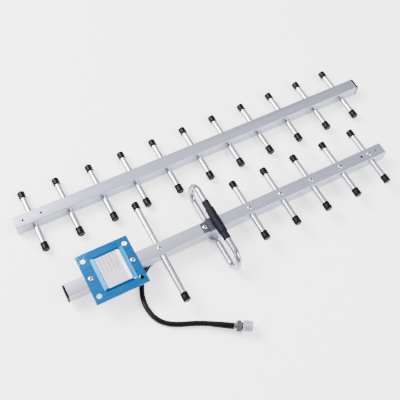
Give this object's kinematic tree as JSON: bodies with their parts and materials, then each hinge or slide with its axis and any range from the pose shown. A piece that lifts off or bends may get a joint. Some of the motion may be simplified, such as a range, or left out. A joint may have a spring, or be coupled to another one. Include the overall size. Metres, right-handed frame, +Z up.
{
  "type": "yagi antenna",
  "caption": "Directional yagi antenna laid out as a rear half with reflector, folded dipole and coax lead, and a plug-on front half of directors on a square boom.",
  "frame": {"origin": "on the ground, under the middle of the box around the two halves as they lie", "axes": "+X along both booms towards the forward tip, +Z up, +Y from the rear half to the front half"},
  "size_m": [0.6068, 0.3555, 0.0458],
  "materials": {
    "boom_aluminium": "extruded satin aluminium with fine lengthwise lines",
    "element_aluminium": "drawn bright aluminium tube",
    "cap_rubber": "moulded black rubber, slight sheen",
    "shrink_sleeve": "heat-shrunk black sleeve, satin",
    "saddle_plastic": "dark moulded plastic, satin",
    "plate_film": "blue protective film over pressed aluminium, glossy",
    "cable_jacket": "smooth black cable jacket",
    "nickel_plate": "bright nickel plate on brass"
  },
  "bodies": {
    "rear_half": {"rear_boom": "boom_aluminium", "reflector": "element_aluminium", "reflector_cap_far": "cap_rubber", "reflector_cap_near": "cap_rubber", "rear_director_1": "element_aluminium", "rear_director_1_cap_far": "cap_rubber", "rear_director_1_cap_near": "cap_rubber", "rear_director_2": "element_aluminium", "rear_director_2_cap_far": "cap_rubber", "rear_director_2_cap_near": "cap_rubber", "rear_director_3": "element_aluminium", "rear_director_3_cap_far": "cap_rubber", "rear_director_3_cap_near": "cap_rubber", "rear_director_4": "element_aluminium", "rear_director_4_cap_far": "cap_rubber", "rear_director_4_cap_near": "cap_rubber", "rear_director_5": "element_aluminium", "rear_director_5_cap_far": "cap_rubber", "rear_director_5_cap_near": "cap_rubber", "folded_dipole": "element_aluminium", "dipole_sleeve": "shrink_sleeve", "dipole_saddle": "saddle_plastic", "mounting_plate": "plate_film", "coax_cable": "cable_jacket", "connector_body": "nickel_plate"},
    "front_half": {"front_boom": "boom_aluminium", "front_director_01": "element_aluminium", "front_director_01_cap_far": "cap_rubber", "front_director_01_cap_near": "cap_rubber", "front_director_02": "element_aluminium", "front_director_02_cap_far": "cap_rubber", "front_director_02_cap_near": "cap_rubber", "front_director_03": "element_aluminium", "front_director_03_cap_far": "cap_rubber", "front_director_03_cap_near": "cap_rubber", "front_director_04": "element_aluminium", "front_director_04_cap_far": "cap_rubber", "front_director_04_cap_near": "cap_rubber", "front_director_05": "element_aluminium", "front_director_05_cap_far": "cap_rubber", "front_director_05_cap_near": "cap_rubber", "front_director_06": "element_aluminium", "front_director_06_cap_far": "cap_rubber", "front_director_06_cap_near": "cap_rubber", "front_director_07": "element_aluminium", "front_director_07_cap_far": "cap_rubber", "front_director_07_cap_near": "cap_rubber", "front_director_08": "element_aluminium", "front_director_08_cap_far": "cap_rubber", "front_director_08_cap_near": "cap_rubber", "front_director_09": "element_aluminium", "front_director_09_cap_far": "cap_rubber", "front_director_09_cap_near": "cap_rubber", "front_director_10": "element_aluminium", "front_director_10_cap_far": "cap_rubber", "front_director_10_cap_near": "cap_rubber", "front_director_11": "element_aluminium", "front_director_11_cap_far": "cap_rubber", "front_director_11_cap_near": "cap_rubber"},
    "coupling_nut": {"coupling_nut": "nickel_plate"}
  },
  "joints": [
    {"name": "front_half_lift", "type": "slide", "parent": "rear_half", "child": "front_half", "axis": [0, 0, 1], "range_m": [0, 0.25]},
    {"name": "coupling_nut_turn", "type": "hinge", "parent": "rear_half", "child": "coupling_nut", "pos_m": [-0.09035, -0.19555, 0.01025], "axis": [0.8396, -0.5432, 0], "continuous": true}
  ]
}
